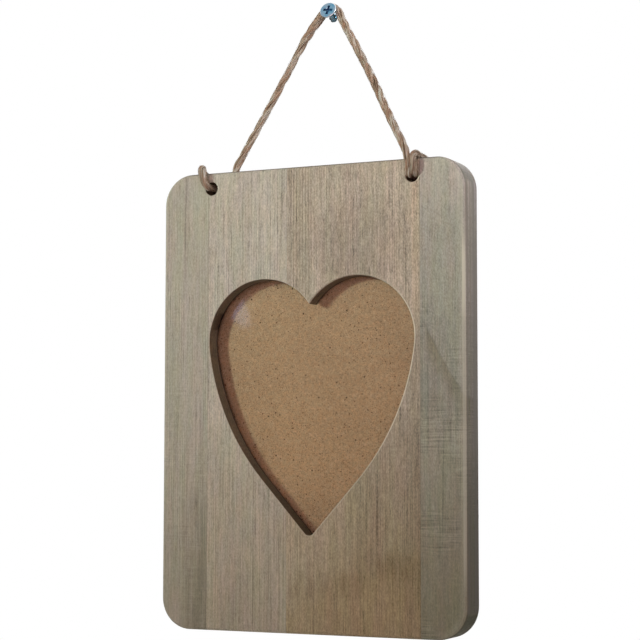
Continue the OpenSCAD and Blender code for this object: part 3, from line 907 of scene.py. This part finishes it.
# The backing is a sheet of raw tan fibreboard, pressed from wood fibres, that closes the
# rebate flush with the board's back. Dark specks of bark show in its smooth face.
fibreboard = bpy.data.materials.new("fibreboard")
paint = Paint(fibreboard)
place = paint.node("TexCoord", {}, {}, "Object")
mottle = paint.noise(place, 850, 3, 0.7)
grit = paint.noise(place, 2300, 2, 0.6)
drift = paint.noise(place, 40, 3)
warmth = paint.noise(place, 560, 3, 0.6)
fibre = abs(paint.noise(place, 420, 2, 0.6, 1.5) - 0.5)
loose = paint.noise(place, 300, 1).between(0.5, 0.6)


def specks(scale, size, share):
    """Round specks up to this size, in a share of the cells of a random pattern."""
    sockets = {"Vector": place, "Scale": scale}
    cell = paint.node("TexVoronoi", {"feature": "F1"}, sockets)
    chance = paint.node("SeparateXYZ", {}, {0: cell.other("Color")}, "X")
    return cell.between(size, size * 0.5) * chance.between(share, share - 0.05)


colour = paint.blend(warmth.between(0.3, 0.7), (0.555, 0.40, 0.25), (0.607, 0.40, 0.235))
# Painted shade: the backing is darker towards its top.
high = paint.node("SeparateXYZ", {}, {0: place}, "Z").between(-0.2135, -0.1485)
colour = paint.tinted(high, colour, (0.905, 0.91, 0.945))
light = 1 + (mottle - 0.5) * 0.8 + (grit - 0.5) * 1.15 + (drift - 0.5) * 0.25
colour = paint.shaded(colour, light)
colour = paint.blend(fibre.between(0.03, 0.006) * loose * 0.5, colour, (0.80, 0.60, 0.40))
colour = paint.blend(specks(1050, 0.34, 0.6) * 0.75, colour, (0.22, 0.125, 0.06))
colour = paint.blend(specks(460, 0.22, 0.4) * 0.8, colour, (0.10, 0.05, 0.025))
colour = paint.blend(specks(230, 0.12, 0.4) * 0.9, colour, (0.05, 0.025, 0.015))
bump = paint.node("Bump", {}, {"Strength": 0.3, "Distance": 0.1 * MM, "Height": mottle + grit})
paint.node("OutputMaterial", {}, {0: paint.node("BsdfPrincipled", {}, {
    "Base Color": colour, "Roughness": 0.8, "Specular IOR Level": 0.2, "Normal": bump,
})})
BACKING_EASE = 0.0003
shell = merged("backing_board")
eased(shell, BACKING_EASE, 2, lambda e: True)
shown(
    "backing", finished_mesh(shell, "backing"), fibreboard, "frame", "fibreboard",
    "backing_board",
)


# Four pressed steel turn buttons, bright zinc plated, hold the glass and the backing. Each
# has a stiffening bead and a lip that lifts off the backing, and turns on its own screw.
def zinc(name, tint, dull, blotch, paler_edges):
    """Zinc plate in blotches of two colours, paler at its eased edges as a painted highlight. A
    recess is painted dark as painted shade.
    """
    made = bpy.data.materials.new(name)
    paint = Paint(made)
    place = paint.node("TexCoord", {}, {}, "Object")
    cloud = paint.noise(place, 380, 3, 0.6)
    scuff = paint.noise(paint.stretched(place, 5200, 900, 900), 1, 3, 0.7)
    worn = paint.node("Attribute", {"attribute_name": "worn"}, {}, "Fac")
    colour = paint.blend(cloud.between(0.3, 0.7) * blotch, tint, dull)
    # Painted highlight: the eased edges are paler.
    colour = paint.blend(worn * paler_edges, colour, (0.86, 0.87, 0.88))
    # Painted shade: the recess is dark navy and less metallic.
    shaded_recess = paint.node("Attribute", {"attribute_name": "cut"}, {}, "Fac")
    colour = paint.blend(shaded_recess * 0.9, colour, (0.02, 0.09, 0.22))
    bump = paint.node("Bump", {}, {"Strength": 0.15, "Distance": 0.05 * MM, "Height": scuff})
    paint.node("OutputMaterial", {}, {0: paint.node("BsdfPrincipled", {}, {
        "Base Color": colour, "Metallic": 1 - shaded_recess * 0.7,
        "Roughness": 0.2 + cloud * 0.16 + scuff * 0.1, "Normal": bump,
    })})
    return made


CORNERS = "upper_left", "upper_right", "lower_left", "lower_right"
BUTTON_EASE = 0.00015
bright_zinc = zinc("bright_zinc", (0.74, 0.75, 0.76), (0.52, 0.54, 0.56), 0.8, 0.5)
for corner in CORNERS:
    shell = merged("turn_button_" + corner)
    eased(shell, BUTTON_EASE, 1, lambda e: True)
    shown(
        "button_" + corner, finished_mesh(shell, "button_" + corner), bright_zinc,
        "turn_button_" + corner, "bright_zinc", "turn_button_" + corner,
    )

# Each button turns on a round-headed steel screw with a cross recess, bright zinc plated
# too, which is driven into a blind pilot hole in the stave.
for corner in CORNERS:
    shell = merged("button_screw_" + corner)
    shown(
        "screw_" + corner, finished_mesh(shell, "screw_" + corner), bright_zinc,
        "frame", "bright_zinc", "button_screw_" + corner,
    )

# The frame hangs on a countersunk steel screw, blue zinc plated, that slopes down into the
# wall. Its rolled thread runs from below the head to the point.
SCREW_SLOPE = radians(20)
SCREW_WAY = Vector((0, cos(SCREW_SLOPE), -sin(SCREW_SLOPE)))
SCREW_UP = SCREW_WAY.cross((1, 0, 0))
SCREW_OUT, SCREW_IN, SCREW_POINT = 0.008, 0.022, 0.006
SCREW_LONG = SCREW_OUT + SCREW_IN
HEAD_R, RECESS_R, RECESS_DEEP = 0.004, 0.0025, 0.0025
RECESS_STRETCH, RECESS_WIDER = 1.08, 0.00012
NECK, THREAD_R, ROOT_R, PITCH = 0.0033, 0.002, 0.00136, 0.0018
RIDGE_HALF, RUN_OUT = 0.36, 0.0012
RAIL_STEPS, ROUND_STEPS = 10, 40
HEAD_EASE, RECESS_EASE = 0.00024, 0.00008
HEAD_TURN = radians(8)


def off_axis(point):
    """How far a point is from the screw's axis."""
    return (point - SCREW_WAY * point.dot(SCREW_WAY)).length


blue_zinc = zinc("blue_zinc", (0.36, 0.46, 0.52), (0.13, 0.36, 0.50), 1.0, 0.95)
# The head is kept as far as its neck, where the plain shank is cut off.
shell = merged("hanging_screw")
bmesh.ops.bisect_plane(
    shell, geom=shell.verts[:] + shell.edges[:] + shell.faces[:],
    plane_co=SCREW_WAY * (NECK - SCREW_OUT), plane_no=SCREW_WAY, clear_outer=True,
)
bmesh.ops.holes_fill(shell, edges=[e for e in shell.edges if e.is_boundary])

# The arms of its cross recess are drawn out and widened a little.
for vert in shell.verts:
    if vert.co.dot(SCREW_WAY) < RECESS_DEEP - SCREW_OUT and off_axis(vert.co) < RECESS_R:
        middle = SCREW_WAY * vert.co.dot(SCREW_WAY)
        spoke = (vert.co - middle) * RECESS_STRETCH
        along_x = abs(spoke.x) > abs(spoke.dot(SCREW_UP))
        across = SCREW_UP if along_x else Vector((1, 0, 0))
        aside = spoke.dot(across)
        way = 0 if abs(aside) < 1e-5 else 1 if aside > 0 else -1
        vert.co = middle + spoke + across * RECESS_WIDER * way
# The recess's faces are marked for the zinc's painted shade.
cut = shell.faces.layers.float.new("cut")
for face in shell.faces:
    if all(off_axis(v.co) < RECESS_R + 0.0003 for v in face.verts) and any(
        0.0001 < v.co.dot(SCREW_WAY) + SCREW_OUT < RECESS_DEEP for v in face.verts
    ):
        face[cut] = 1
eased(shell, HEAD_EASE, 3, lambda e: (
    min(off_axis(v.co) for v in e.verts) > HEAD_R - 0.0001
    and max(v.co.dot(SCREW_WAY) for v in e.verts) < 0.0001 - SCREW_OUT
))
eased(shell, RECESS_EASE, 2, lambda e: (
    max(off_axis(v.co) for v in e.verts) < RECESS_R + 0.0002 and e.calc_length() > 0.0002
))

# A new shank is spun from a rail at the thread's root, and its points on the ridge are
# lifted along a helix that begins below the neck and fades into the point.
shank_from = NECK - 0.0006
runs = round((SCREW_LONG - shank_from) / PITCH * RAIL_STEPS)
rail = []
for k in range(runs + 1):
    along = shank_from + (SCREW_LONG - shank_from) * k / runs
    out = Vector((ROOT_R if 0 < k < runs else 0, 0, 0))
    rail.append(shell.verts.new(SCREW_WAY * (along - SCREW_OUT) + out))
edges = [shell.edges.new(pair) for pair in zip(rail, rail[1:])]
bmesh.ops.spin(
    shell, geom=rail + edges, cent=(0, 0, 0), axis=SCREW_WAY, angle=2 * pi, steps=ROUND_STEPS,
    use_merge=True,
)
bmesh.ops.remove_doubles(shell, verts=shell.verts, dist=1e-7)
for vert in shell.verts:
    along = vert.co.dot(SCREW_WAY) + SCREW_OUT
    out = vert.co - SCREW_WAY * (along - SCREW_OUT)
    if along > shank_from + 1e-5 and abs(out.length - ROOT_R) < 2e-5:
        turn = (pi + atan2(out.dot(SCREW_UP), out.x)) / (2 * pi)
        ridge = max(0, 1 - abs((along / PITCH - turn) % 1 - 0.5) / RIDGE_HALF)
        begun = min(1, max(0, (along - NECK - RUN_OUT) / RUN_OUT))
        taper = min(1, max(0, (SCREW_LONG - along) / SCREW_POINT))
        wide = taper * (ROOT_R + (THREAD_R - ROOT_R) * ridge * begun)
        vert.co = SCREW_WAY * (along - SCREW_OUT) + out.normalized() * wide
bmesh.ops.rotate(
    shell, verts=shell.verts, cent=(0, 0, 0), matrix=Matrix.Rotation(HEAD_TURN, 3, SCREW_WAY)
)
bmesh.ops.recalc_face_normals(shell, faces=shell.faces)
shown(
    "wall_hanging_screw", finished_mesh(shell, "wall_hanging_screw"), blue_zinc,
    "wall_screw", "blue_zinc", "hanging_screw",
)

bpy.context.view_layer.update()
